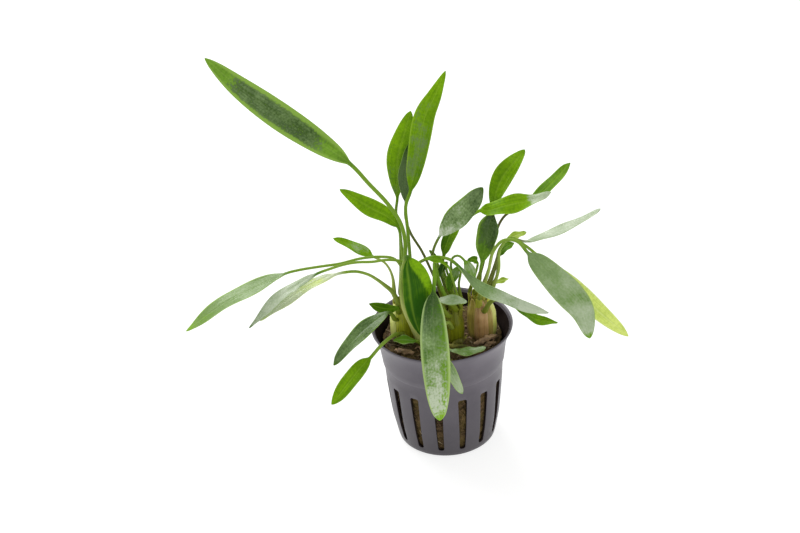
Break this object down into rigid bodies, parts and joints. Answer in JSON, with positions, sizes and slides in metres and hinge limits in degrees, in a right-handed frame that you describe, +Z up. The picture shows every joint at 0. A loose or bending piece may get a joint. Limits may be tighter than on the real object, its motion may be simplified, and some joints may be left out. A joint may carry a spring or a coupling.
{
  "type": "potted cryptocoryne",
  "caption": "Small aquarium plant with long lance-shaped leaves arching from its crowns, rooted in rock wool in a slotted plastic net pot.",
  "frame": {"origin": "centre of the pot's flat underside, on the surface that it stands on", "axes": "+Z up along the pot's axis; -Y is the plant's front, where the longest leaf hangs over the rim; +X to the viewer's right"},
  "size_m": [0.163, 0.0721, 0.1573],
  "materials": {
    "pot_plastic": "satin",
    "rock_wool": "matte",
    "crown": "satin",
    "leaf": "satin",
    "leaf_dark": "satin",
    "leaf_pale": "satin",
    "leaf_lime": "satin"
  },
  "bodies": {
    "root": {"pot": "pot_plastic", "rock_wool": "rock_wool", "crown_left": "crown", "crown_middle": "crown", "crown_right": "crown", "leaf_top_left": "leaf_dark", "leaf_top_centre": "leaf", "leaf_top_back": "leaf", "leaf_top_dark": "leaf_dark", "leaf_left_bright": "leaf", "leaf_left_small": "leaf", "leaf_far_left": "leaf_pale", "leaf_left_upper": "leaf_pale", "leaf_left_lower": "leaf_lime", "leaf_front_left": "leaf_dark", "leaf_low_left": "leaf", "leaf_left_bit": "leaf", "leaf_in_pot": "leaf_pale", "leaf_front_wide": "leaf", "leaf_front_long": "leaf_pale", "leaf_front_hidden": "leaf_pale", "leaf_centre_grey": "leaf_dark", "leaf_centre_green": "leaf", "leaf_right_high": "leaf", "leaf_right_flat": "leaf", "leaf_right_far": "leaf", "leaf_right_dark": "leaf_dark", "leaf_right_point": "leaf", "leaf_right_grey": "leaf_pale", "leaf_right_tiny": "leaf_lime", "leaf_right_under": "leaf", "leaf_right_stub": "leaf_lime", "leaf_right_broad": "leaf_pale", "leaf_right_lime": "leaf_lime", "leaf_right_low": "leaf_pale", "leaf_right_lower": "leaf", "leaf_centre_small": "leaf_pale", "leaf_on_rim": "leaf_pale", "leaf_centre_bit": "leaf", "leaf_centre_tip": "leaf", "leaf_centre_dark": "leaf_dark", "leaf_centre_low": "leaf", "leaf_centre_back": "leaf_pale"}
  },
  "joints": []
}
